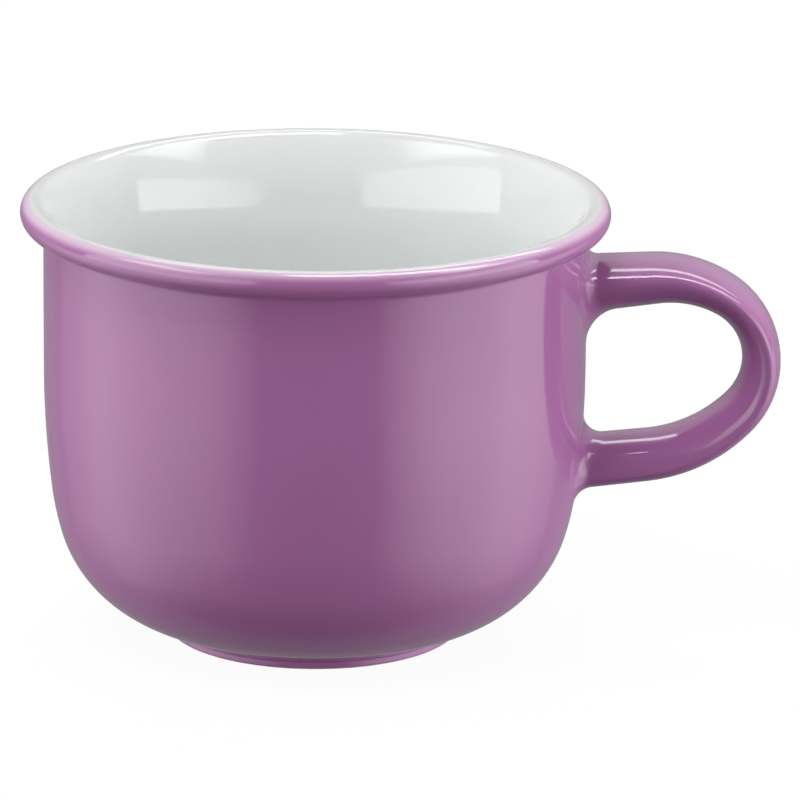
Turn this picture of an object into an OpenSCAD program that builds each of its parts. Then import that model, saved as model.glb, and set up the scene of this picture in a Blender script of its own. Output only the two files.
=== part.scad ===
// Glazed ceramic coffee cup, in millimetres. The cup stands on z = 0 with its axis on Z,
// and the handle reaches out along +X. A turned body carries a cast loop handle, luted on
// with slip. White glaze lines the inside, violet glaze covers the outside, the handle and
// the hollow of the foot, and the rim of the foot stays bare.

/* [Cup] */
// Diameter over the rolled lip
rim_d = 92; // [84:0.5:100]
// Height from the table to the top of the lip
cup_h = 69.8; // [64:0.2:78]
// Thickness of the glazed wall
wall_t = 5.2; // [4.4:0.1:6]
// Thickness of the glazed floor
floor_t = 4; // [3.4:0.1:4.6]

/* [Lip] */
// Overhang of the lip beyond the straight wall
lip_out = 3.6; // [3:0.1:4.2]
// Radius of the rolled lip
lip_r = 2.1; // [1.8:0.1:2.4]
// Radius of the hollow under the lip
lip_hollow_r = 1.2; // [0.8:0.1:1.8]
// Radius of the flare inside, between the straight wall and the roll
flare_r = 28; // [22:0.5:34]
// Angle above level at which the two glazes meet on the lip
glaze_joint_angle = 55; // [30:1:80]

/* [Bowl] */
// Radius of the belly, the gentle curve below the straight wall
belly_r = 160; // [140:1:180]
// Angle that the belly turns through
belly_turn = 7; // [5:0.5:9]
// Radius of the waist of the bowl, between belly and heel
waist_r = 43.5; // [36:0.5:52]
// Angle that the waist turns through
waist_turn = 9.5; // [7:0.5:12]
// Radius of the heel, the round corner above the foot
heel_r = 20.2; // [17:0.2:23]
// Angle that the heel turns through
heel_turn = 50; // [45:0.5:55]

/* [Foot] */
// Diameter of the foot ring
foot_d = 46; // [40:0.5:50]
// Height of the foot ring's outside
foot_h = 1.3; // [1:0.1:2]
// Width of the foot ring
foot_w = 4; // [3.4:0.1:5]
// Depth of the hollow inside the foot ring
foot_hollow_h = 1.8; // [1.4:0.1:2.4]
// Radius of the fillet round the hollow of the foot
foot_fillet_r = 0.9; // [0.5:0.1:1.2]
// Height of the bare rim, where the glaze is wiped off
bare_h = 0.15; // [0.1:0.05:0.4]

/* [Handle] */
// Distance from the top of the lip down to the middle of the upper root
handle_drop = 13.4; // [12:0.1:15]
// Upward slope of the handle where it leaves the wall
handle_rise = 4.5; // [1:0.5:8]
// Straight length of the handle at the upper root
handle_lead = 10.7; // [9.5:0.1:12]
// Radius of the upper run
upper_run_r = 18.5; // [16:0.5:21]
// Angle that the upper run turns through
upper_run_turn = 35.5; // [31:0.5:40]
// Radius of the far bend
bend_r = 12; // [10.6:0.1:13.4]
// Angle that the far bend turns through
bend_turn = 102; // [96:1:108]
// Radius of the lower run
lower_run_r = 23.5; // [20:0.5:27]
// Angle that the lower run turns through
lower_run_turn = 40.5; // [35:0.5:46]
// Width of the handle, across its loop
handle_w = 15.2; // [12.6:0.2:17.4]
// Thickness of the handle at the upper root
upper_root_t = 8.1; // [7:0.1:9]
// Thickness of the handle at its slimmest place
slim_t = 5.9; // [5:0.1:6.6]
// Thickness of the handle at the lower root
lower_root_t = 7.6; // [6.6:0.1:8.6]
// Share of half the thickness by which the handle's widest line lies outwards of the middle
widest_share = 0.35; // [0:0.05:0.5]

/* [Slip joints] */
// Radius of the fillet above the upper root
upper_fillet_out = 2; // [1.4:0.1:2.6]
// Radius of the fillet below the upper root, in the finger gap
upper_fillet_in = 5.4; // [4:0.1:6.2]
// Radius of the fillet above the lower root, in the finger gap
lower_fillet_in = 3.8; // [2.8:0.1:4.8]
// Radius of the fillet below the lower root
lower_fillet_out = 2.4; // [1.6:0.1:3.2]
// Radius of the fillets at the sides of both roots
side_fillet = 2.4; // [1.8:0.1:3]

/* [Glaze] */
// Thickness of each coat of glaze
glaze_t = 0.35; // [0.2:0.05:0.5]

/* [Hidden] */

// Facets: round the axis, round the handle's section, and degrees per step along an arc
round_fn = 128;
section_n = 32;
arc_step = 9;
fine_step = 2;
fillet_steps = 6;
cap_rings = 4;

// Place of the lip: the roll's centre, the inner flare and the hollow under the roll
rim_r = rim_d / 2;
wall_r = rim_r - lip_out;
roll_r = rim_r - lip_r;
roll_z = cup_h - lip_r;
inside_r = wall_r - wall_t;
flare_centre_r = inside_r + flare_r;
flare_z = roll_z - sqrt(pow(flare_r - lip_r, 2) - pow(flare_centre_r - roll_r, 2));
// Angle at which the roll runs into the flare
flare_end = atan2(roll_z - flare_z, roll_r - flare_centre_r);
hollow_r = wall_r + lip_hollow_r;
hollow_z = roll_z - sqrt(pow(lip_r + lip_hollow_r, 2) - pow(roll_r - hollow_r, 2));
// Angle below level at which the roll runs into the hollow
roll_end = -atan2(roll_z - hollow_z, roll_r - hollow_r);

// The bowl is worked out from the foot upwards, so that it always lands on the foot ring
foot_r = foot_d / 2;
foot_in_r = foot_r - foot_w;
waist_at = belly_turn;
heel_at = belly_turn + waist_turn;
heel_end = heel_at + heel_turn;
heel_end_r = wall_r - belly_r * (1 - cos(waist_at)) - waist_r * (cos(waist_at) - cos(heel_at))
           - heel_r * (cos(heel_at) - cos(heel_end));
heel_end_z = foot_h + (heel_end_r - foot_r) / tan(heel_end);
heel_z = heel_end_z + heel_r * sin(heel_end);
waist_z = heel_z + (waist_r - heel_r) * sin(heel_at);
belly_z = waist_z + (belly_r - waist_r) * sin(waist_at);
heel_centre_r = heel_end_r - heel_r * cos(heel_end);
waist_centre_r = heel_centre_r + (heel_r - waist_r) * cos(heel_at);
belly_centre_r = wall_r - belly_r;
base_z = foot_hollow_h;
floor_z = base_z + floor_t;
// Inside, the heel starts where the waist ends and runs out level on the floor
inner_waist_r = waist_r - wall_t;
inner_heel_r = (waist_z - inner_waist_r * sin(heel_at) - floor_z) / (1 - sin(heel_at));
inner_heel_z = floor_z + inner_heel_r;
inner_heel_centre_r = waist_centre_r + (inner_waist_r - inner_heel_r) * cos(heel_at);

// Points of an arc about [r, z], from one angle to another
function arc(r, z, radius, from, to, step) =
    let (n = max(2, ceil(abs(to - from) / step)))
    [for (i = [0:n]) let (a = from + (to - from) * i / n) [r + radius * cos(a), z + radius * sin(a)]];

// Belly and waist of the bowl, sunk by an inset below the outer surface
function side_arcs(inset) = concat(
    arc(belly_centre_r, belly_z, belly_r - inset, 0, -waist_at, fine_step),
    arc(waist_centre_r, waist_z, waist_r - inset, -waist_at, -heel_at, fine_step));

// Height at which the underside, sunk by an inset, meets the foot ring
function crease_z(inset) = foot_h - inset * tan(90 - heel_end) + inset / sin(heel_end);

// Outside of the cup from the glaze joint on the lip down to the foot, sunk by an inset
function outer_line(inset) = concat(
    arc(roll_r, roll_z, lip_r - inset, glaze_joint_angle, roll_end, arc_step),
    arc(hollow_r, hollow_z, lip_hollow_r + inset, 180 + roll_end, 180, arc_step),
    side_arcs(inset),
    arc(heel_centre_r, heel_z, heel_r - inset, -heel_at, -heel_end, arc_step / 2),
    [[foot_r - inset, crease_z(inset)], [foot_r - inset, bare_h]]);

// Inside of the cup from the glaze joint on the lip to the middle of the floor
function inner_line(inset) = concat(
    arc(roll_r, roll_z, lip_r - inset, glaze_joint_angle, flare_end, arc_step),
    arc(flare_centre_r, flare_z, flare_r - inset, flare_end, 180, fine_step),
    side_arcs(wall_t - inset),
    arc(inner_heel_centre_r, inner_heel_z, inner_heel_r + inset, -heel_at, -90, arc_step / 2),
    [[0, floor_z - inset]]);

// Hollow of the foot from the middle of its ceiling to the bare rim
function base_line(inset) = concat(
    [[0, base_z + inset]],
    arc(foot_in_r - foot_fillet_r, base_z - foot_fillet_r, foot_fillet_r + inset, 90, 0, 2 * arc_step),
    [[foot_in_r + inset, bare_h]]);

function reversed(list) = [for (i = [len(list) - 1:-1:0]) list[i]];

// A coat of glaze lies between a line and the same line sunk by the coat's thickness
module coat(surface, biscuit) {
    rotate_extrude($fn = round_fn) polygon(concat(surface, reversed(biscuit)));
}

// Outer radius of the wall at a height
function wall_at(z) =
    z >= belly_z ? wall_r :
    z >= waist_z - waist_r * sin(waist_at) ? belly_centre_r + sqrt(pow(belly_r, 2) - pow(belly_z - z, 2)) :
    z >= heel_z - heel_r * sin(heel_at) ? waist_centre_r + sqrt(pow(waist_r, 2) - pow(waist_z - z, 2)) :
    heel_centre_r + sqrt(pow(heel_r, 2) - pow(heel_z - z, 2));

// Centreline of the handle in the XZ plane: lead, three clockwise arcs and a tail to the wall
function along(p, heading, length) = p + length * [cos(heading), sin(heading)];
function turn_centre(p, heading, radius) = p + radius * [sin(heading), -cos(heading)];
function turn_point(centre, heading, radius) = centre + radius * [-sin(heading), cos(heading)];
function arc_length(radius, angle) = radius * angle * PI / 180;

upper_z = cup_h - handle_drop;
upper_root = [wall_at(upper_z), upper_z];
lead_end = along(upper_root, handle_rise, handle_lead);
bend_heading = handle_rise - upper_run_turn;
lower_heading = bend_heading - bend_turn;
tail_heading = lower_heading - lower_run_turn;
upper_run_centre = turn_centre(lead_end, handle_rise, upper_run_r);
bend_start = turn_point(upper_run_centre, bend_heading, upper_run_r);
bend_centre = turn_centre(bend_start, bend_heading, bend_r);
lower_start = turn_point(bend_centre, lower_heading, bend_r);
lower_run_centre = turn_centre(lower_start, lower_heading, lower_run_r);
tail_start = turn_point(lower_run_centre, tail_heading, lower_run_r);

// The tail is as long as the wall is far, found by stepping along it to the wall
function tail_to_wall(length, steps) =
    let (p = along(tail_start, tail_heading, length),
         more = length + (p[0] - wall_at(p[1])) / -cos(tail_heading))
    steps == 0 ? length : tail_to_wall(more, steps - 1);
tail = tail_to_wall(0, 5);
lower_root = along(tail_start, tail_heading, tail);

bend_at = handle_lead + arc_length(upper_run_r, upper_run_turn);
lower_at = bend_at + arc_length(bend_r, bend_turn);
tail_at = lower_at + arc_length(lower_run_r, lower_run_turn);
handle_length = tail_at + tail;
// The handle is slimmest a little way into the far bend
slim_at = bend_at + arc_length(bend_r, 20);

// Half thickness of the handle at a length along its centreline
function ease(share) = (1 - cos(180 * share)) / 2;
function half_t(l) =
    l < slim_at ? (upper_root_t + (slim_t - upper_root_t) * ease(l / slim_at)) / 2
    : (lower_root_t + (slim_t - lower_root_t) * ease((handle_length - l) / (handle_length - slim_at))) / 2;

// Stations [point, heading, length] on the arcs of the centreline
function stations(centre, radius, from, turn, start) =
    let (n = ceil(turn / arc_step))
    [for (i = [0:n]) let (a = turn * i / n)
        [turn_point(centre, from - a, radius), from - a, start + arc_length(radius, a)]];
function without_first(list) = [for (i = [1:len(list) - 1]) list[i]];
loop_stations = concat(
    stations(upper_run_centre, upper_run_r, handle_rise, upper_run_turn, handle_lead),
    without_first(stations(bend_centre, bend_r, bend_heading, bend_turn, bend_at)),
    without_first(stations(lower_run_centre, lower_run_r, lower_heading, lower_run_turn, lower_at)));

// The egg-shaped section of two half ellipses: unit offsets outwards from the loop and across it
function egg(v) = widest_share + (1 - sign(v) * widest_share) * v;
section = [for (j = [0:section_n - 1]) let (a = 360 * j / section_n) [egg(cos(a)), sin(a)]];
function normal(heading) = [-sin(heading), cos(heading)];
function in_space(p, across) = [p[0], across, p[1]];

// One ring of the loop at a station, sunk by an inset below the glaze
function loop_ring(station, inset) =
    let (out = half_t(station[2]) - inset, across = handle_w / 2 - inset)
    [for (s = section) in_space(station[0] + s[0] * out * normal(station[1]), s[1] * across)];

// A root is [point, outward heading, loop side, half thickness, outer fillet, inner fillet]
upper = [upper_root, handle_rise, 1, upper_root_t / 2, upper_fillet_out, upper_fillet_in];
lower = [lower_root, tail_heading + 180, -1, lower_root_t / 2, lower_fillet_out, lower_fillet_in];
function fillet(root, s) = side_fillet + ((s[0] > 0 ? root[4] : root[5]) - side_fillet) * pow(s[0], 2);

// A point offset in the plane of the root's section, slid along the handle's own direction
// until it stands a distance off the wall, which is itself sunk by an inset
function slid(p, across, heading, off, steps) =
    let (x = sqrt(pow(wall_at(p[1]) + off, 2) - pow(across, 2)),
         q = [x, p[1] + (x - p[0]) * tan(heading)])
    steps == 0 ? in_space(q, across) : slid(q, across, heading, off, steps - 1);
function root_point(root, s, grow, shrink, off) =
    let (out = (root[3] + grow) * shrink, across = (handle_w / 2 + grow) * shrink)
    slid(root[0] + s[0] * out * root[2] * normal(root[1]), s[1] * across, root[1], off, 3);

// A ring of a root at an angle round its fillet: 0 on the wall, 90 on the handle.
// With flare 1 it lies on the fillet, and with flare 0 on the handle inside the fillet.
function root_ring(root, angle, flare, inset) =
    [for (s = section) let (r = fillet(root, s) + inset)
        root_point(root, s, flare * r * (1 - sin(angle)) - inset, 1, r * (1 - cos(angle)) - inset)];
function root_rings(root, flare, inset) =
    [for (i = [0:fillet_steps]) root_ring(root, 90 * i / fillet_steps, flare, inset)];
// Rings that close the end of the handle against the wall
function cap(root, inset) =
    [for (i = [1:cap_rings]) [for (s = section) root_point(root, s, -inset, (i - 0.5) / cap_rings, -inset)]];

// All rings of the loop from the upper root to the lower one
function loop_rings(flare, inset) = concat(
    root_rings(upper, flare, inset),
    [for (st = loop_stations) loop_ring(st, inset)],
    reversed(root_rings(lower, flare, inset)));

// Skin between rings of equal count; a closed strip joins the last ring to the first
function strip(first, last) = [for (i = [first:last - 1], j = [0:section_n - 1])
    let (k = (j + 1) % section_n, a = i * section_n, b = a + section_n)
    each [[a + j, a + k, b + k], [a + j, b + k, b + j]]];
module skin(rings) {
    n = len(rings);
    ends = [[for (j = [section_n - 1:-1:0]) j], [for (j = [0:section_n - 1]) (n - 1) * section_n + j]];
    polyhedron([for (r = rings) each r], concat(strip(0, n - 1), ends), convexity = 6);
}
module ring_skin(rings) {
    n = len(rings);
    closing = [for (j = [0:section_n - 1])
        let (k = (j + 1) % section_n, a = (n - 1) * section_n)
        each [[a + j, a + k, k], [a + j, k, j]]];
    polyhedron([for (r = rings) each r], concat(strip(0, n - 1), closing), convexity = 6);
}

// Plug of a root's whole footprint, which leaves its opening in the coat on the wall
module footprint(root) {
    translate(in_space(root[0], 0)) rotate([0, 90 - root[1], 0])
        linear_extrude(4 * side_fillet, center = true)
            polygon([for (s = section) let (r = fillet(root, s))
                [-root[2] * s[0] * (root[3] + r), s[1] * (handle_w / 2 + r)]]);
}

// Slip joint: the fillet of dried slip round a root, between the handle and the wall
module slip_joint(root) {
    flared = root_rings(root, 1, glaze_t);
    plain = root_rings(root, 0, glaze_t);
    rings = concat(flared, [for (i = [fillet_steps - 1:-1:0]) plain[i]]);
    ring_skin(root[2] > 0 ? rings : reversed(rings));
}

// Body: wall, lip, floor and foot ring, turned in one piece and bare on the foot's rim
module cup_body() {
    rim = [[foot_r - glaze_t - bare_h, 0], [foot_in_r + glaze_t + bare_h, 0]];
    color("linen") rotate_extrude($fn = round_fn) polygon(concat(
        outer_line(glaze_t), rim, reversed(base_line(glaze_t)), reversed(inner_line(glaze_t))));
}

// Handle: cast loop of egg-shaped section, cut at both roots to the curve of the wall
module handle() {
    rings = concat(reversed(cap(upper, glaze_t)), loop_rings(0, glaze_t), cap(lower, glaze_t));
    color("antiquewhite") skin(rings);
}

module upper_slip_joint() { color("wheat") slip_joint(upper); }

module lower_slip_joint() { color("wheat") slip_joint(lower); }

// White coat over the lip, the wall and the floor inside
module inner_glaze() { color("whitesmoke") coat(inner_line(0), inner_line(glaze_t)); }

// Violet coat outside, open where the handle is luted on
module outer_glaze() {
    color("mediumorchid") difference() {
        coat(outer_line(0), outer_line(glaze_t));
        footprint(upper);
        footprint(lower);
    }
}

// Violet coat over the handle and its slip joints
module handle_glaze() {
    color("mediumorchid") ring_skin(concat(loop_rings(1, 0), reversed(loop_rings(1, glaze_t))));
}

// Violet coat in the hollow of the foot
module base_glaze() { color("orchid") coat(base_line(0), base_line(glaze_t)); }

cup_body();
handle();
upper_slip_joint();
lower_slip_joint();
inner_glaze();
outer_glaze();
handle_glaze();
base_glaze();
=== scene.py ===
from math import asin, atan2, ceil, cos, degrees, pi, radians, sin, sqrt, tan

import bpy
from mathutils import Matrix, Vector


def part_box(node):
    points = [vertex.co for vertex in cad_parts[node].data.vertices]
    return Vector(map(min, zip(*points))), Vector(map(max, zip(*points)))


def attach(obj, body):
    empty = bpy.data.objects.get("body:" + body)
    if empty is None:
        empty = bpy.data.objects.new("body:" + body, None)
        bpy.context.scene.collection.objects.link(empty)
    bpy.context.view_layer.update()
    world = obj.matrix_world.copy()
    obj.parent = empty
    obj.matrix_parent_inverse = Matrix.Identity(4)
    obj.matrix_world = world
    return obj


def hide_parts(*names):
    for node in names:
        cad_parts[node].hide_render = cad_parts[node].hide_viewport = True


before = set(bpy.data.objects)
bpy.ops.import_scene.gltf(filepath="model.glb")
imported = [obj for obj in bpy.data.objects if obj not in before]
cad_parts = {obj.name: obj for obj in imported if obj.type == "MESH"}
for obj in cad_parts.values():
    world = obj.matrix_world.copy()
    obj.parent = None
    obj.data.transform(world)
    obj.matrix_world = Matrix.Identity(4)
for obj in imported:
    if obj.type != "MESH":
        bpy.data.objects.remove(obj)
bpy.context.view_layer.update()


# Cup body: the clay cup, turned on a wheel in one piece with its wall, rolled lip, floor and foot
# ring. It is fired to a pale, rough biscuit, which shows only on the rim of the foot, where the
# glaze is wiped off so that the cup doesn't stick to the kiln shelf.
mm = 0.001
rim_r = -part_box("outer_glaze")[0].x
cup_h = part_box("inner_glaze")[1].z
glaze_t = 0.35 * mm
wall_t = 5.2 * mm
floor_t = 4 * mm

# The lip is a roll that stands out from the wall, with a long flare inside and a hollow under it
lip_out = 3.6 * mm
lip_r = 2.1 * mm
lip_hollow_r = 1.2 * mm
flare_r = 28 * mm
glaze_joint = 55
wall_r = rim_r - lip_out
roll = (rim_r - lip_r, cup_h - lip_r)
flare_centre_r = wall_r - wall_t + flare_r
flare = (flare_centre_r, roll[1] - sqrt((flare_r - lip_r) ** 2 - (flare_centre_r - roll[0]) ** 2))
flare_end = degrees(atan2(roll[1] - flare[1], roll[0] - flare[0]))
hollow_r = wall_r + lip_hollow_r
hollow = (hollow_r, roll[1] - sqrt((lip_r + lip_hollow_r) ** 2 - (roll[0] - hollow_r) ** 2))
roll_end = -degrees(atan2(roll[1] - hollow[1], roll[0] - hollow[0]))

# The bowl runs from the straight wall through belly, waist and heel to the foot, with angles in degrees
belly_r, waist_r, heel_r = 160 * mm, 43.5 * mm, 20.2 * mm
waist_at, heel_at, heel_end = 7, 16.5, 66.5
foot_r = 23 * mm
foot_h = 1.3 * mm
foot_ring_t = 4 * mm
foot_in_r = foot_r - foot_ring_t
foot_hollow_h = 1.8 * mm
foot_fillet_r = 0.9 * mm
crease_r = 0.35 * mm
bare_h = 0.15 * mm


def on_circle(centre, radius, angle):
    """The point of a circle in the outline's plane at an angle in degrees."""
    return (centre[0] + radius * cos(radians(angle)), centre[1] + radius * sin(radians(angle)))


def arc(centre, radius, start, end, step=2.5):
    """Points of an arc in the outline's plane, from one angle to another by about a step, in degrees."""
    count = max(2, ceil(abs(end - start) / step))
    return [on_circle(centre, radius, start + (end - start) * i / count) for i in range(count + 1)]


# Each arc starts where the one above it ends, and the last one points at the foot ring's edge
heel_end_r = (wall_r - belly_r * (1 - cos(radians(waist_at)))
              - waist_r * (cos(radians(waist_at)) - cos(radians(heel_at)))
              - heel_r * (cos(radians(heel_at)) - cos(radians(heel_end))))
heel_end_z = foot_h + (heel_end_r - foot_r) / tan(radians(heel_end))
heel = on_circle((heel_end_r, heel_end_z), -heel_r, -heel_end)
waist = on_circle(heel, heel_r - waist_r, -heel_at)
belly = on_circle(waist, waist_r - belly_r, -waist_at)
crease = (foot_r + crease_r, foot_h - crease_r * tan(radians(heel_end / 2)))

# Inside, the heel starts where the waist ends and runs out level on the floor
floor_z = foot_hollow_h + floor_t
inner_waist_end = on_circle(waist, waist_r - wall_t, -heel_at)
inner_heel_r = (inner_waist_end[1] - floor_z) / (1 - sin(radians(heel_at)))
inner_heel = on_circle(inner_waist_end, -inner_heel_r, -heel_at)


def side_arcs(inset):
    """Belly and waist of the bowl, sunk by an inset below the outer surface."""
    return (arc(belly, belly_r - inset, 0, -waist_at, step=0.7)
            + arc(waist, waist_r - inset, -waist_at, -heel_at, step=1))


def outer_line(inset):
    """Outside of the cup from the glaze joint on the lip down to the bare rim, sunk by an inset."""
    return (arc(roll, lip_r - inset, glaze_joint, roll_end)
            + arc(hollow, lip_hollow_r + inset, 180 + roll_end, 180, step=4)
            + side_arcs(inset)
            + arc(heel, heel_r - inset, -heel_at, -heel_end, step=1.4)
            + arc(crease, crease_r + inset, 180 - heel_end, 180, step=8)
            + [(foot_r - inset, bare_h + glaze_t - inset)])


def inner_line(inset):
    """Inside of the cup from the glaze joint on the lip to the middle of the floor, sunk by an inset."""
    return (arc(roll, lip_r - inset, glaze_joint, flare_end)
            + arc(flare, flare_r - inset, flare_end, 180, step=1.5)
            + side_arcs(wall_t - inset)
            + arc(inner_heel, inner_heel_r + inset, -heel_at, -90, step=1.6)
            + [(0, floor_z - inset)])


def hollow_line(inset):
    """Hollow of the foot from the bare rim to the middle of its ceiling, sunk by an inset."""
    fillet = (foot_in_r - foot_fillet_r, foot_hollow_h - foot_fillet_r)
    return ([(foot_in_r + inset, bare_h + glaze_t - inset)]
            + arc(fillet, foot_fillet_r + inset, 0, 90, step=6)
            + [(0, foot_hollow_h + inset)])


def node(tree, kind, inputs=None, **settings):
    """Adds a node to a tree, with its settings, and its inputs set to values or linked to outputs."""
    made = tree.nodes.new(kind)
    for name, value in settings.items():
        setattr(made, name, value)
    for name, value in (inputs or {}).items():
        if isinstance(value, bpy.types.NodeSocket):
            tree.links.new(value, made.inputs[name])
        else:
            made.inputs[name].default_value = value
    return made


# On the wheel, points nearer than the weld become one, and edges that bend past sharp_bend stay sharp
weld = 0.002 * mm
sharp_bend = radians(32)


def wheel_tree():
    """A tree that turns an outline in the XZ plane round the Z axis, as clay is turned on a wheel."""
    tree = bpy.data.node_groups.new("potters_wheel", "GeometryNodeTree")
    for name, kind in (("Outline", "Geometry"), ("Steps round", "Int"),
                       ("Crease angle", "Float"), ("Finish", "Material")):
        tree.interface.new_socket(name, in_out="INPUT", socket_type="NodeSocket" + kind)
    tree.interface.new_socket("Turned", in_out="OUTPUT", socket_type="NodeSocketGeometry")
    given = node(tree, "NodeGroupInput").outputs
    rows = node(tree, "GeometryNodeAttributeDomainSize", {"Geometry": given["Outline"]})
    columns = node(tree, "FunctionNodeIntegerMath", {0: given["Steps round"], 1: 1}).outputs[0]
    grid = node(tree, "GeometryNodeMeshGrid",
                {"Vertices X": rows.outputs["Point Count"], "Vertices Y": columns})
    index = node(tree, "GeometryNodeInputIndex").outputs[0]
    row = node(tree, "FunctionNodeIntegerMath", {0: index, 1: columns}, operation="DIVIDE_FLOOR")
    column = node(tree, "FunctionNodeIntegerMath", {0: index, 1: columns}, operation="MODULO")
    on_outline = node(tree, "GeometryNodeSampleIndex",
                      {"Geometry": given["Outline"], "Index": row.outputs[0]}, data_type="FLOAT_VECTOR")
    tree.links.new(node(tree, "GeometryNodeInputPosition").outputs[0], on_outline.inputs["Value"])
    part_turn = node(tree, "ShaderNodeMath", {0: column.outputs[0], 1: given["Steps round"]},
                     operation="DIVIDE")
    angle = node(tree, "ShaderNodeMath", {0: part_turn.outputs[0], 1: 2 * pi}, operation="MULTIPLY")
    turned_point = node(tree, "ShaderNodeVectorRotate",
                        {"Vector": on_outline.outputs[0], "Angle": angle.outputs[0]},
                        rotation_type="Z_AXIS")
    placed = node(tree, "GeometryNodeSetPosition",
                  {"Geometry": grid.outputs["Mesh"], "Position": turned_point.outputs[0]})
    closed = node(tree, "GeometryNodeMergeByDistance", {"Geometry": placed.outputs[0], "Distance": weld})
    smooth = node(tree, "GeometryNodeSetShadeSmooth", {"Geometry": closed.outputs[0]})
    bend = node(tree, "GeometryNodeInputMeshEdgeAngle").outputs["Unsigned Angle"]
    sharp = node(tree, "ShaderNodeMath", {0: bend, 1: given["Crease angle"]}, operation="GREATER_THAN")
    creased = node(tree, "GeometryNodeSetShadeSmooth",
                   {"Geometry": smooth.outputs[0], "Selection": sharp.outputs[0], "Shade Smooth": False},
                   domain="EDGE")
    whole = node(tree, "GeometryNodeRealizeInstances", {"Geometry": creased.outputs[0]})
    finished = node(tree, "GeometryNodeSetMaterial",
                    {"Geometry": whole.outputs[0], "Material": given["Finish"]})
    node(tree, "NodeGroupOutput", {"Turned": finished.outputs[0]})
    return tree


wheel = wheel_tree()


def new_object(name, data):
    """A new object in the scene, made from a mesh, a lamp or a camera."""
    made = bpy.data.objects.new(name, data)
    bpy.context.scene.collection.objects.link(made)
    return made


def turned(name, outline, finish, steps=256):
    """A closed piece turned from its outline, as a plain mesh with its place in its vertices."""
    blank = bpy.data.meshes.new(name)
    blank.from_pydata([(r, 0, z) for r, z in outline], [], [])
    piece = new_object(name, blank)
    turning = piece.modifiers.new("turning", "NODES")
    turning.node_group = wheel
    sockets = {item.name: item.identifier for item in wheel.interface.items_tree}
    turning[sockets["Steps round"]] = steps
    turning[sockets["Crease angle"]] = sharp_bend
    turning[sockets["Finish"]] = finish
    evaluated = piece.evaluated_get(bpy.context.evaluated_depsgraph_get())
    piece.data = bpy.data.meshes.new_from_object(evaluated)
    piece.modifiers.clear()
    return piece


def new_finish(name):
    """A new material with a principled shader, and its node tree."""
    material = bpy.data.materials.new(name)
    material.use_nodes = True
    return material, material.node_tree


def set_finish(material, ior, colour, roughness, normal):
    """Sets a material's index of refraction and links its colour, roughness and normal."""
    shader = material.node_tree.nodes["Principled BSDF"]
    shader.inputs["IOR"].default_value = ior
    for socket, value in (("Base Color", colour), ("Roughness", roughness), ("Normal", normal)):
        material.node_tree.links.new(value, shader.inputs[socket])


def own_coords(tree):
    """The piece's own coordinates, in metres from the middle of the foot."""
    return node(tree, "ShaderNodeTexCoord").outputs["Object"]


def ranged(tree, value, start, end, low=0, high=1, **settings):
    """A level that goes from low to high as a value goes from start to end, and no further."""
    inputs = {"Value": value, "From Min": start, "From Max": end, "To Min": low, "To Max": high}
    return node(tree, "ShaderNodeMapRange", inputs, **settings).outputs["Result"]


def grain(tree, scale, low=0, high=1, detail=2):
    """Noise on the piece's own coordinates, its usual range spread from low to high."""
    noise = node(tree, "ShaderNodeTexNoise",
                 {"Vector": own_coords(tree), "Scale": scale, "Detail": detail})
    usual_low, usual_high = 0.3, 0.7
    return ranged(tree, noise.outputs["Fac"], usual_low, usual_high, low, high)


def specks(tree, spacing, radius):
    """Round specks, one to a cell of the given spacing: 1 in the middle of a speck, 0 outside."""
    cells = node(tree, "ShaderNodeTexVoronoi", {"Vector": own_coords(tree), "Scale": 1 / spacing})
    edge = radius / spacing
    return ranged(tree, cells.outputs["Distance"], edge, edge / 3)


def mixed(tree, share, first, second):
    """A colour that goes from the first to the second as the share goes from 0 to 1."""
    return node(tree, "ShaderNodeMix", {0: share, 6: first, 7: second}, data_type="RGBA").outputs[2]


def bumped(tree, height, depth, below=None):
    """A normal for a surface that rises by depth where height is 1, over an earlier bump if given."""
    inputs = {"Height": height, "Distance": depth, "Strength": 1}
    if below is not None:
        inputs["Normal"] = below
    return node(tree, "ShaderNodeBump", inputs).outputs["Normal"]


clay_ior = 1.45
buff = (0.8, 0.75, 0.65, 1)
dark_buff = (0.72, 0.65, 0.54, 1)
iron_brown = (0.3, 0.2, 0.13, 1)


def biscuit_finish():
    """Fired clay without glaze: pale buff, dry and matte, with a fine tooth and iron specks."""
    material, tree = new_finish("biscuit")
    clay = mixed(tree, grain(tree, scale=160, detail=4), buff, dark_buff)
    specked = mixed(tree, specks(tree, spacing=1.6 * mm, radius=0.12 * mm), clay, iron_brown)
    tooth = bumped(tree, grain(tree, scale=2500, detail=3), 0.03 * mm)
    set_finish(material, clay_ior, specked, grain(tree, scale=700, low=0.7, high=0.95), tooth)
    return material


biscuit = biscuit_finish()
foot_rim = (arc((foot_r - glaze_t - bare_h, bare_h), bare_h, 0, -90, step=15)
            + arc((foot_in_r + glaze_t + bare_h, bare_h), bare_h, -90, -180, step=15))
body_outline = inner_line(glaze_t)[::-1] + outer_line(glaze_t) + foot_rim + hollow_line(glaze_t)
body = turned("turned_body", body_outline, biscuit, steps=128)
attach(body, "root")
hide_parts("cup_body")


# Handle and slip joints: the loop is cast in a mould from the same clay, cut to the curve of the
# wall and stuck on with slip, which is wiped into a fillet round each root. All of it lies under
# the violet glaze, so these pieces keep the shapes that they come with.
slip_buff = (0.76, 0.7, 0.6, 1)
slip_dark = (0.68, 0.6, 0.49, 1)


def slip_finish():
    """Dried and fired slip: the clay's colour, a shade darker, with soft brush marks round the root."""
    material, tree = new_finish("slip")
    brushed = mixed(tree, grain(tree, scale=420, detail=3), slip_buff, slip_dark)
    brush_marks = bumped(tree, grain(tree, scale=900), 0.05 * mm)
    set_finish(material, clay_ior, brushed, grain(tree, scale=500, low=0.75, high=0.95), brush_marks)
    return material


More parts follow.
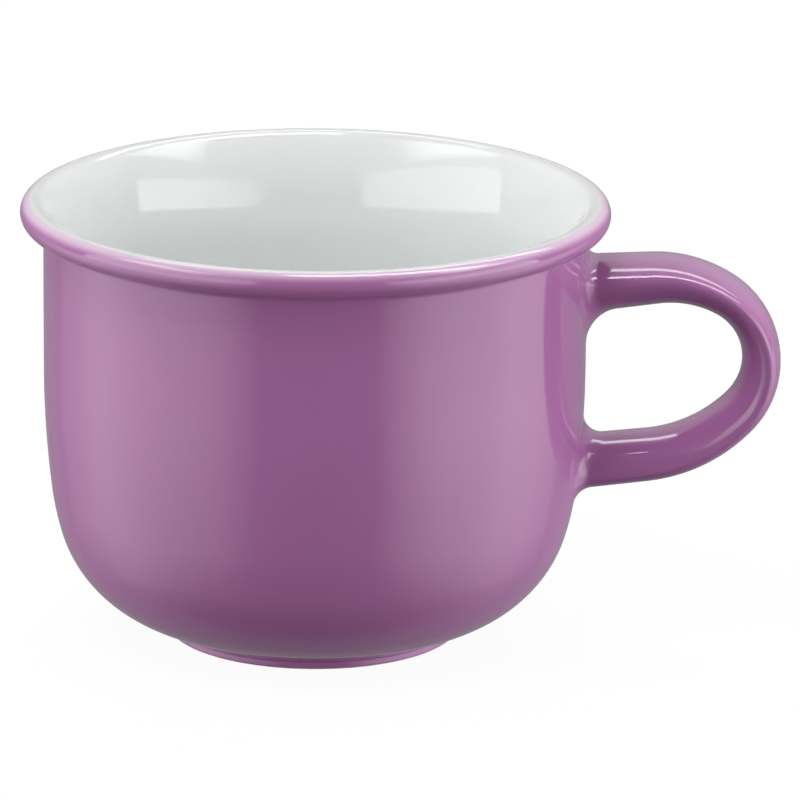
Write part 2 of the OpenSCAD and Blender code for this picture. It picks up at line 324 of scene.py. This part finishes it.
slip = slip_finish()
for name, finish in (("handle", biscuit), ("upper_slip_joint", slip), ("lower_slip_joint", slip)):
    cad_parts[name].data.materials.clear()
    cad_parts[name].data.materials.append(finish)


# White coat: the glaze that is poured into the cup and out again, so that it lines the floor, the
# wall and the top of the lip. It is a clear white glass, melted smooth in the kiln.
glass_ior = 1.52
cool_white = (0.856, 0.87, 0.87, 1)
shaded_white = (0.83, 0.845, 0.842, 1)
# The white turns a plain grey towards the rim of the lip
rim_grey_white = (0.68, 0.688, 0.686, 1)
bled_white = (0.65, 0.46, 0.625, 1)
grey_from, grey_to = rim_r - 4 * mm, rim_r - 2.4 * mm
bled_from, bled_to = rim_r - 1.9 * mm, rim_r - 0.9 * mm


def radius_share(tree, start, end):
    """How far the distance from the cup's axis has gone from start to end, from 0 to 1."""
    level_place = node(tree, "ShaderNodeVectorMath", {0: own_coords(tree), 1: (1, 1, 0)},
                       operation="MULTIPLY").outputs[0]
    radius = node(tree, "ShaderNodeVectorMath", {0: level_place}, operation="LENGTH").outputs["Value"]
    return ranged(tree, radius, start, end, interpolation_type="SMOOTHSTEP")


def set_glaze(material, colour, smoothest, roughest):
    """Sets a material as fired glaze: a colour under glass, with slow waves and a faint grain."""
    tree = material.node_tree
    waves = bumped(tree, grain(tree, scale=55), 0.02 * mm)
    surface = bumped(tree, grain(tree, scale=700), 0.0006 * mm, waves)
    roughness = grain(tree, scale=90, low=smoothest, high=roughest)
    set_finish(material, glass_ior, colour, roughness, surface)


def white_finish():
    """White glaze: cool white and glossy, greyer towards the rim of the lip, and violet at the joint."""
    material, tree = new_finish("white_glaze")
    white = mixed(tree, grain(tree, scale=60, detail=3), cool_white, shaded_white)
    rim_toned = mixed(tree, radius_share(tree, grey_from, grey_to), white, rim_grey_white)
    bled = mixed(tree, radius_share(tree, bled_from, bled_to), rim_toned, bled_white)
    set_glaze(material, bled, smoothest=0.05, roughest=0.09)
    return material


white_coat = turned("white_coat", inner_line(0)[::-1] + inner_line(glaze_t), white_finish())
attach(white_coat, "root")
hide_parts("inner_glaze")


# Violet coat: the glaze that the cup is dipped in, from the lip to the foot. It runs thin over the
# lip, where the white shows through, and ends in a round edge above the wiped rim of the foot.
deep_violet = (0.395, 0.155, 0.363, 1)
shaded_violet = (0.374, 0.147, 0.344, 1)
pinhole_violet = (0.2, 0.08, 0.19, 1)
thin_violet = (0.71, 0.52, 0.68, 1)
pale_from, pale_to = cup_h - 1.45 * mm, cup_h - 0.05 * mm


def height_share(tree, start, end):
    """How far the height above the table has gone from start to end, from 0 to 1."""
    height = node(tree, "ShaderNodeSeparateXYZ", {0: own_coords(tree)}).outputs["Z"]
    return ranged(tree, height, start, end, interpolation_type="SMOOTHSTEP")


def violet_finish():
    """Violet glaze: opaque and glossy, gently mottled, with rare pinholes and a pale thin edge."""
    material, tree = new_finish("violet_glaze")
    mottled = mixed(tree, grain(tree, scale=40, detail=3), deep_violet, shaded_violet)
    pinholes = specks(tree, spacing=9 * mm, radius=0.12 * mm)
    pinholed = mixed(tree, pinholes, mottled, pinhole_violet)
    rim_toned = mixed(tree, height_share(tree, pale_from, pale_to), pinholed, thin_violet)
    set_glaze(material, rim_toned, smoothest=0.06, roughest=0.1)
    return material


violet = violet_finish()
round_edge = arc((foot_r - glaze_t, bare_h + glaze_t), glaze_t, 0, -90, step=15)
outer_outline = outer_line(0) + round_edge + outer_line(glaze_t)[::-1] + outer_line(0)[:1]
violet_coat = turned("violet_coat", outer_outline, violet)
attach(violet_coat, "root")
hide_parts("outer_glaze")


# Handle coat: the same violet glaze over the loop and its slip joints. It fills the roots in soft
# fillets, so that the handle seems to grow out of the wall.
handle_drop = 13.4 * mm
upper_z = cup_h - handle_drop
handle_rise = 4.5
handle_lead = 10.7 * mm

# Each run of the loop has a radius and a turn in degrees, and the handle is slimmest in the second run
runs = ((18.5 * mm, 35.5), (12 * mm, 102), (23.5 * mm, 40.5))
slim_turn = 20
half_w = 7.6 * mm
upper_half_t, slim_half_t, lower_half_t = 4.05 * mm, 2.95 * mm, 3.8 * mm
widest_share = 0.35

# The fillets at each root are given outside the loop and inside it, and those at the sides are alike
upper_fillets = (2 * mm, 5.4 * mm)
lower_fillets = (2.4 * mm, 3.8 * mm)
side_fillet = 2.4 * mm
section_steps = 64
path_step = 3
fillet_steps = 14
root_rounds = 6
wall_rounds = 4


def wall_arc(z):
    """Centre and radius of the arc of the wall's outside at a height below the straight wall."""
    if z >= on_circle(belly, belly_r, -waist_at)[1]:
        return belly, belly_r
    return (waist, waist_r) if z >= on_circle(waist, waist_r, -heel_at)[1] else (heel, heel_r)


def wall_at(z):
    """Radius of the wall's outside at a height, and the angle that it leans there."""
    if z >= belly[1]:
        return wall_r, 0
    centre, radius = wall_arc(z)
    lean = asin((z - centre[1]) / radius)
    return centre[0] + radius * cos(lean), lean


def unit(heading):
    """The direction of a heading in the plane of the loop, in degrees above the X axis."""
    return Vector((cos(radians(heading)), sin(radians(heading))))


def out_of_loop(heading):
    """The direction square to a heading, outwards from the loop."""
    return unit(heading + 90)


# The path starts at the upper root, turns clockwise through three runs and ends at the wall
upper_root = Vector((wall_at(upper_z)[0], upper_z))
point, heading, travelled = upper_root + handle_lead * unit(handle_rise), handle_rise, handle_lead
stations = []
for run_r, turn in runs:
    centre = point - run_r * out_of_loop(heading)
    for i in range(ceil(turn / path_step)):
        passed = turn * i / ceil(turn / path_step)
        stations.append((centre + run_r * out_of_loop(heading - passed), heading - passed,
                         travelled + run_r * radians(passed)))
    heading -= turn
    point = centre + run_r * out_of_loop(heading)
    travelled += run_r * radians(turn)
stations.append((point, heading, travelled))
lower_root = point
for i in range(root_rounds):
    lower_root = lower_root + (lower_root.x - wall_at(lower_root.y)[0]) / -unit(heading).x * unit(heading)
handle_length = travelled + (lower_root - point).length
slim_at = handle_lead + runs[0][0] * radians(runs[0][1]) + runs[1][0] * radians(slim_turn)


def half_t(length):
    """Half the thickness of the handle at a length along its path."""
    root_t, share = upper_half_t, length / slim_at
    if length > slim_at:
        root_t, share = lower_half_t, (handle_length - length) / (handle_length - slim_at)
    return root_t + (slim_half_t - root_t) * (1 - cos(pi * share)) / 2


def egg(value):
    """Moves the widest line of a round section outwards from the loop: flat outside, deep inside."""
    return widest_share + (1 - widest_share if value > 0 else 1 + widest_share) * value


angles = [2 * pi * i / section_steps for i in range(section_steps)]
section = [(egg(cos(a)), sin(a)) for a in angles]


def loop_ring(station, inset):
    """One ring round the loop at a station of its path, sunk by an inset."""
    place, heading, length = station
    ring = []
    for out, across in section:
        p = place + out * (half_t(length) - inset) * out_of_loop(heading)
        ring.append(Vector((p.x, across * (half_w - inset), p.y)))
    return ring


def root_ring(root, angle, inset):
    """One ring round the fillet of a root, from 0 degrees on the wall to 90 on the handle."""
    place, heading, side, thick, fillets = root
    ring = []
    for out, across in section:
        fillet = side_fillet + (fillets[0 if out > 0 else 1] - side_fillet) * out ** 2 + inset
        grow = fillet * (1 - sin(radians(angle))) - inset
        off = fillet * (1 - cos(radians(angle))) - inset
        p = place + out * (thick + grow) * side * out_of_loop(heading)
        y = across * (half_w + grow)
        for i in range(wall_rounds):
            x = sqrt((wall_at(p.y)[0] + off) ** 2 - y ** 2)
            p = Vector((x, p.y + (x - p.x) * tan(radians(heading))))
        ring.append(Vector((p.x, y, p.y)))
    return ring


upper = (upper_root, handle_rise, 1, upper_half_t, upper_fillets)
lower = (lower_root, heading + 180, -1, lower_half_t, lower_fillets)
fillet_angles = [90 * i / fillet_steps for i in range(fillet_steps + 1)]


def loop_rings(inset):
    """All rings of the coat from the wall at the upper root to the wall at the lower one."""
    return ([root_ring(upper, angle, inset) for angle in fillet_angles]
            + [loop_ring(station, inset) for station in stations]
            + [root_ring(lower, angle, inset) for angle in fillet_angles[::-1]])


outside = loop_rings(0)
rings = outside + loop_rings(glaze_t)[::-1]
faces = []
for i in range(len(rings)):
    here, there = i * section_steps, (i + 1) % len(rings) * section_steps
    for j in range(section_steps):
        k = (j + 1) % section_steps
        faces.append((here + j, there + j, there + k, here + k))
mesh = bpy.data.meshes.new("handle_coat")
mesh.from_pydata([p for ring in rings for p in ring], [], faces)
mesh.shade_smooth()
mesh.materials.append(violet)

# At its two ends the coat lies flush on the wall and takes the wall's own normals, so no seam shows
normals = [v.normal.copy() for v in mesh.vertices]
last = (len(outside) - 1) * section_steps
for i in [*range(section_steps), *range(last, last + section_steps)]:
    x, y, z = mesh.vertices[i].co
    lean = wall_at(z)[1]
    normals[i] = (Vector((x, y, 0)).normalized() * cos(lean) + Vector((0, 0, sin(lean)))).normalized()
mesh.normals_split_custom_set_from_vertices(normals)
handle_coat = new_object("handle_coat", mesh)
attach(handle_coat, "root")
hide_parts("handle_glaze")


# Foot coat: violet glaze in the hollow of the foot, parted from the coat outside by the bare rim.
# Glaze stays in the hollow because it never touches the shelf.
base_edge = arc((foot_in_r + glaze_t, bare_h + glaze_t), glaze_t, -90, -180, step=15)
base_outline = hollow_line(glaze_t)[::-1] + base_edge + hollow_line(0)
base_coat = turned("foot_coat", base_outline, violet, steps=160)
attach(base_coat, "root")
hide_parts("base_glaze")


# Floor: a plain white sheet under the cup. It shows as white and keeps the cup's soft shadow, and
# the glaze mirrors the lights past it, as over a glass table.
floor_half = 3
floor_drop = 0.01 * mm
sheet_white = (0.98, 0.98, 0.98, 1)
glow_share = 0.94
glow_strength = 1.012
corners = [(x * floor_half, y * floor_half, -floor_drop) for x, y in ((-1, -1), (1, -1), (1, 1), (-1, 1))]
floor_mesh = bpy.data.meshes.new("floor")
floor_mesh.from_pydata(corners, [], [(0, 1, 2, 3)])
floor = new_object("floor", floor_mesh)
floor.visible_glossy = False
floor.visible_diffuse = False
floor.visible_shadow = False
paper, paper_tree = new_finish("floor_white")
paper_tree.nodes.clear()
matte = node(paper_tree, "ShaderNodeBsdfDiffuse", {"Color": sheet_white})
glow = node(paper_tree, "ShaderNodeEmission", {"Strength": glow_strength})
blend = node(paper_tree, "ShaderNodeMixShader", {0: glow_share, 1: matte.outputs[0], 2: glow.outputs[0]})
node(paper_tree, "ShaderNodeOutputMaterial", {"Surface": blend.outputs[0]})
floor_mesh.materials.append(paper)


# Studio light: two tall softboxes beside the cup, a lamp high at the front left and strips overhead.
# Some lamps only light the cup, and some are only mirrored in its glaze. The room is dim before the
# cup, pale behind it and white to the camera.
skyward = Vector((0, 0, 1))
rearward = Vector((0, 1, 0))
even = ((0, 1), (1, 1))


def graded(tree, share, stops):
    """A level that goes through stops of place and level as the share goes from 0 to 1."""
    ramp = node(tree, "ShaderNodeValToRGB", {"Fac": share})
    elements = ramp.color_ramp.elements
    elements.remove(elements[1])
    for place, level in stops:
        stop = elements.new(place) if place else elements[0]
        stop.color = (level, level, level, 1)
    return ramp.outputs["Color"]


def light_panel(name, place, outward, up, size, radiance, columns, rows, lights=True, mirrored=True):
    """A softbox that faces the cup, graded along and up. A radiance of 1 is as bright as white."""
    lamp = bpy.data.lights.new(name, "AREA")
    lamp.shape = "RECTANGLE"
    lamp.size, lamp.size_y = size
    lamp.energy = radiance * pi * lamp.size * lamp.size_y
    lamp.use_nodes = True
    tree = lamp.node_tree
    on_face = node(tree, "ShaderNodeNewGeometry").outputs["Parametric"]
    face = node(tree, "ShaderNodeSeparateXYZ", {0: on_face}).outputs
    along, upward = graded(tree, face["X"], columns), graded(tree, face["Y"], rows)
    level = node(tree, "ShaderNodeMath", {0: along, 1: upward}, operation="MULTIPLY").outputs[0]
    tree.links.new(level, tree.nodes["Emission"].inputs["Strength"])
    panel = new_object(name, lamp)
    turn = Matrix((up.cross(outward), up, outward)).transposed()
    panel.matrix_world = Matrix.Translation(place) @ turn.to_4x4()
    panel.visible_camera = False
    panel.visible_diffuse = lights
    panel.visible_glossy = mirrored


def side_panel(name, azimuths, heights, radiance, columns, rows, side_distance=0.9, **uses):
    """A softbox that stands beside the cup, between two azimuths in degrees and two heights in metres."""
    start, end = azimuths
    low, high = heights
    middle = radians(start + end) / 2
    outward = Vector((sin(middle), -cos(middle), 0))
    place = outward * side_distance + Vector((0, 0, (low + high) / 2))
    size = (2 * side_distance * tan(radians(end - start) / 2), high - low)
    light_panel(name, place, outward, skyward, size, radiance, columns, rows, **uses)


left_side, right_side = (-97, -22), (27, 94)
side_panel("left_softbox", left_side, heights=(0, 1.4), radiance=3.15,
           columns=((0, 0.9), (0.3, 1), (0.55, 0.95), (0.8, 0.8), (1, 0.5)),
           rows=((0, 1.05), (0.1, 0.9), (0.2, 0.68), (0.493, 0.46), (0.5, 0.22), (1, 0.1)))
side_panel("right_softbox", right_side, heights=(0, 1.4), radiance=3.65,
           columns=((0, 0.2), (0.15, 0.55), (0.3, 0.88), (0.45, 1), (1, 1)),
           rows=((0, 1.15), (0.1, 0.97), (0.2, 0.7), (0.371, 0.46), (0.379, 0.2), (1, 0.1)))

# The inside mirrors the lower half of each softbox as a pale window, which stands close behind it
for name, azimuths, heights in (("left_window", left_side, (0.1, 0.71)),
                                ("right_window", right_side, (0.1, 0.54))):
    side_panel(name, azimuths, heights, radiance=1, columns=even, rows=even,
               side_distance=0.93, lights=False)

# Higher up, the lip mirrors a second pair of softboxes
high_rows = ((0, 0.5), (0.2, 1), (1, 1))
side_panel("left_high", azimuths=(-100, -48), heights=(0.8, 1.5), radiance=4.3,
           columns=((0, 1), (0.6, 1), (1, 0.3)), rows=high_rows, lights=False)
side_panel("right_high", azimuths=(60, 102), heights=(0.75, 1.5), radiance=4.3,
           columns=((0, 0.3), (0.3, 1), (1, 1)), rows=high_rows, lights=False)

# The table mirrors the softboxes, so the glaze shows them again below it
mirrored_rows = ((0, 0), (0.39, 0.12), (0.83, 0.7), (1, 0.85))
side_panel("left_in_table", azimuths=(-134, -24), heights=(-1.5, 0), radiance=2.6,
           columns=((0, 0.1), (0.15, 0.22), (0.22, 0.33), (0.29, 0.55), (0.38, 0.91), (0.46, 1),
                    (0.69, 0.85), (0.8, 0.69), (1, 0.1)),
           rows=mirrored_rows, lights=False)
side_panel("right_in_table", azimuths=(28, 130), heights=(-1.5, 0), radiance=3.1,
           columns=((0, 0.12), (0.12, 0.5), (0.26, 0.88), (0.36, 1), (0.58, 1), (0.73, 0.55),
                    (0.83, 0.36), (1, 0.1)),
           rows=mirrored_rows, lights=False)

# What the table throws back lights the sides of the cup
bounce_rows = ((0, 0), (0.35, 0.15), (0.7, 0.65), (0.88, 1), (1, 0.5))
side_panel("left_bounce", azimuths=(-148, -48), heights=(-1.2, 0.15), radiance=1.95,
           columns=((0, 1), (0.3, 1), (0.8, 0.9), (1, 0.3)), rows=bounce_rows, mirrored=False)
side_panel("right_bounce", azimuths=(48, 148), heights=(-1.2, 0.15), radiance=3.2,
           columns=((0, 0.2), (0.2, 0.75), (0.7, 1), (1, 0.6)), rows=bounce_rows, mirrored=False)

# The lamp at the front left lights the cup from above, and two strips draw the lines along the handle
overhead = (("top_light", (-0.24, -0.4, 1.12), (0.6, 0.45), 7.4, {"mirrored": False}),
            ("top_strip", (0.45, 0.03, 1.2), (1.1, 0.28), 11, {"lights": False}),
            ("back_strip", (0.45, 0.89, 1.2), (1.8, 0.28), 5.5, {}))
for name, place, size, radiance, uses in overhead:
    light_panel(name, Vector(place), skyward, rearward, size, radiance,
                columns=((0, 1), (0.7, 1), (1, 0.2)), rows=even, **uses)

# The room's levels are shares of white, and what is behind the cup lights less than the glaze mirrors
front_level = 0.056
back_low_level, back_high_level = 0.304, 0.92
lighting_share = 0.55
front_rise, back_rise, turn_back = (-0.75, -0.2), (-0.12, 0.4), (-0.1, 0.3)
world = bpy.data.worlds.new("studio")
world.use_nodes = True
bpy.context.scene.world = world
room = world.node_tree
room.nodes.clear()
outlook = node(room, "ShaderNodeTexCoord").outputs["Generated"]
direction = node(room, "ShaderNodeSeparateXYZ", {0: outlook}).outputs
before = ranged(room, direction["Z"], *front_rise, 0, front_level)
behind = ranged(room, direction["Z"], *back_rise, back_low_level, back_high_level)
towards_back = ranged(room, direction["Y"], *turn_back)
ray = node(room, "ShaderNodeLightPath").outputs
behind_share = ranged(room, ray["Is Glossy Ray"], 0, 1, lighting_share, 1)
dimmed = node(room, "ShaderNodeMath", {0: behind, 1: behind_share}, operation="MULTIPLY").outputs[0]
tone = node(room, "ShaderNodeMix", {0: towards_back, 2: before, 3: dimmed}).outputs[0]
clear = node(room, "ShaderNodeMath", {0: ray["Is Camera Ray"], 1: ray["Is Transmission Ray"]},
             operation="MAXIMUM").outputs[0]
strength = node(room, "ShaderNodeMix", {0: clear, 2: tone, 3: 1.0}).outputs[0]
backdrop = node(room, "ShaderNodeBackground", {"Color": (1, 1, 1, 1), "Strength": strength})
node(room, "ShaderNodeOutputWorld", {"Surface": backdrop.outputs[0]})


# Camera: a long lens at the photograph's height and distance, tilted down at the cup and rolled by
# half a degree, as the photograph is. The picture is a square.
picture_px = 800
focal_px = 7656.5
sensor_mm = 36
aim = Vector((13.385, 0, 37.129)) * mm
distance = 1200 * mm
tilt = radians(16.134)
roll_angle = radians(0.53)
lens = bpy.data.cameras.new("camera")
lens.sensor_width = sensor_mm
lens.lens = sensor_mm * focal_px / picture_px
camera = new_object("camera", lens)
backward = Vector((0, -cos(tilt), sin(tilt)))
level, upright = Vector((1, 0, 0)), Vector((0, sin(tilt), cos(tilt)))
across = cos(roll_angle) * level + sin(roll_angle) * upright
turn = Matrix((across, backward.cross(across), backward)).transposed()
camera.matrix_world = Matrix.Translation(aim + distance * backward) @ turn.to_4x4()
bpy.context.scene.camera = camera
bpy.context.scene.view_settings.view_transform = "Standard"
